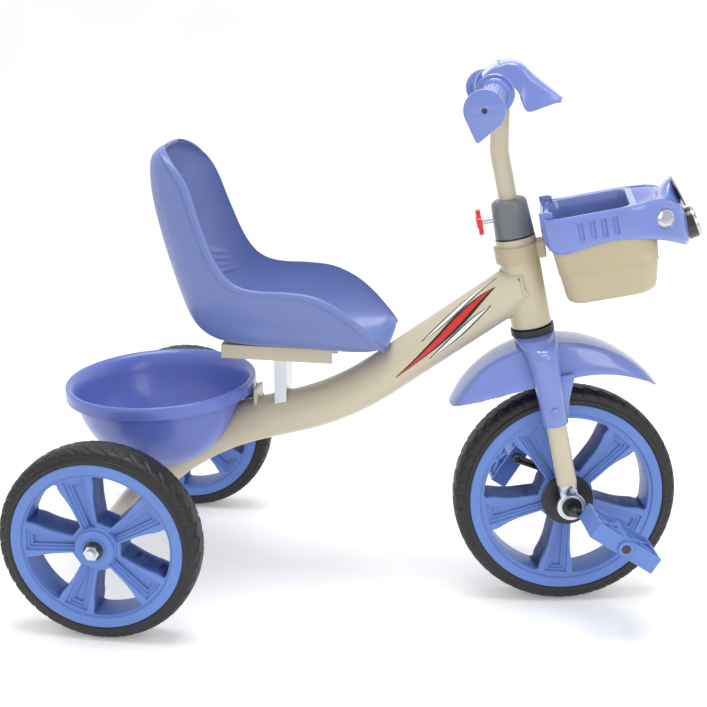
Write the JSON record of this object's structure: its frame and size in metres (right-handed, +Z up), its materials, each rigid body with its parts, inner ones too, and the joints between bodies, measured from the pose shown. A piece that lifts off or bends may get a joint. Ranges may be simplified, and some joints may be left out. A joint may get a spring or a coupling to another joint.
{
  "type": "children's tricycle",
  "caption": "Pedal tricycle for a toddler with a bucket seat, foam tyres, a mudguard, a front basket and a round rear bowl.",
  "frame": {"origin": "on the floor, on the middle plane, midway between the back of the rear tyres and the front basket's nose", "axes": "+X forwards, +Y to the rider's left, +Z up"},
  "size_m": [0.7296, 0.4132, 0.6122],
  "materials": {
    "cream_paint": "gloss powder coat",
    "blue_plastic": "gloss moulded plastic",
    "cream_plastic": "satin moulded plastic",
    "black_plastic": "satin moulded plastic",
    "grey_plastic": "satin moulded plastic",
    "red_plastic": "gloss moulded plastic",
    "zinc_steel": "bright zinc plate",
    "chrome_trim": "vacuum-plated plastic",
    "black_steel": "black enamel",
    "eva_tyre": "moulded EVA foam"
  },
  "bodies": {
    "frame": {"main_tube": "cream_paint", "head_tube": "cream_paint", "rear_cross_tube": "cream_paint", "seat_rail": "cream_paint", "seat_upright": "cream_paint", "seat_bolts": "black_steel", "seat": "blue_plastic", "seat_badge": "chrome_trim", "bowl": "blue_plastic", "bowl_bolts": "zinc_steel", "bowl_lug": "cream_paint", "head_bushes": "black_plastic", "rear_axle": "zinc_steel", "axle_plugs": "black_plastic", "axle_washers": "zinc_steel", "axle_nuts": "zinc_steel", "basket_collar": "cream_plastic", "basket_tub": "cream_plastic", "basket_trim": "blue_plastic", "windscreen": "black_plastic", "nose_lamp": "chrome_trim", "side_badges": "chrome_trim", "basket_screws": "zinc_steel"},
    "fork": {"steerer": "zinc_steel", "fork_crown": "cream_paint", "fork_leg_right": "cream_paint", "fork_leg_left": "cream_paint", "fork_end_right": "zinc_steel", "fork_end_left": "zinc_steel", "fork_bushes": "black_plastic", "crown_ring": "black_plastic", "fender": "blue_plastic", "fender_screws": "zinc_steel", "stem_sleeve": "grey_plastic", "clamp_nut": "zinc_steel"},
    "handlebar": {"stem": "cream_paint", "crossbar": "cream_paint", "grip_right": "blue_plastic", "grip_left": "blue_plastic", "cowl": "blue_plastic", "cowl_screws": "zinc_steel"},
    "clamp": {"clamp_screw": "zinc_steel", "clamp_knob": "red_plastic"},
    "front_wheel": {"front_rim": "blue_plastic", "front_tyre": "eva_tyre", "hub_discs": "black_plastic", "crank": "black_steel", "pedal_caps": "zinc_steel"},
    "right_pedal": {"pedal_right": "blue_plastic"},
    "left_pedal": {"pedal_left": "blue_plastic"},
    "right_wheel": {"rear_rim_right": "blue_plastic", "rear_tyre_right": "eva_tyre", "hub_cap_right": "blue_plastic", "wheel_bushes_right": "black_plastic"},
    "left_wheel": {"rear_rim_left": "blue_plastic", "rear_tyre_left": "eva_tyre", "hub_cap_left": "blue_plastic", "wheel_bushes_left": "black_plastic"}
  },
  "joints": [
    {"name": "steering", "type": "hinge", "parent": "frame", "child": "fork", "pos_m": [0.23535, 0, 0.127], "axis": [-0.225, 0, 0.9744], "range_deg": [-51, 29]},
    {"name": "handlebar_height", "type": "slide", "parent": "fork", "child": "handlebar", "axis": [-0.225, 0, 0.9744], "range_m": [0, 0.04]},
    {"name": "clamp_turn", "type": "hinge", "parent": "fork", "child": "clamp", "pos_m": [0.15219, -0.00191, 0.44361], "axis": [-0.9565, -0.1908, -0.2208], "continuous": true},
    {"name": "front_wheel_spin", "type": "hinge", "parent": "fork", "child": "front_wheel", "pos_m": [0.23535, 0, 0.127], "axis": [-0.1859, 0.9816, -0.0429], "continuous": true},
    {"name": "right_pedal_spin", "type": "hinge", "parent": "front_wheel", "child": "right_pedal", "pos_m": [0.29742, -0.10078, 0.11618], "axis": [-0.1859, 0.9816, -0.0429], "continuous": true},
    {"name": "left_pedal_spin", "type": "hinge", "parent": "front_wheel", "child": "left_pedal", "pos_m": [0.17329, 0.10078, 0.13783], "axis": [-0.1859, 0.9816, -0.0429], "continuous": true},
    {"name": "right_wheel_spin", "type": "hinge", "parent": "frame", "child": "right_wheel", "pos_m": [-0.25365, -0.17, 0.11], "axis": [0, 1, 0], "continuous": true},
    {"name": "left_wheel_spin", "type": "hinge", "parent": "frame", "child": "left_wheel", "pos_m": [-0.25365, 0.17, 0.11], "axis": [0, 1, 0], "continuous": true}
  ]
}
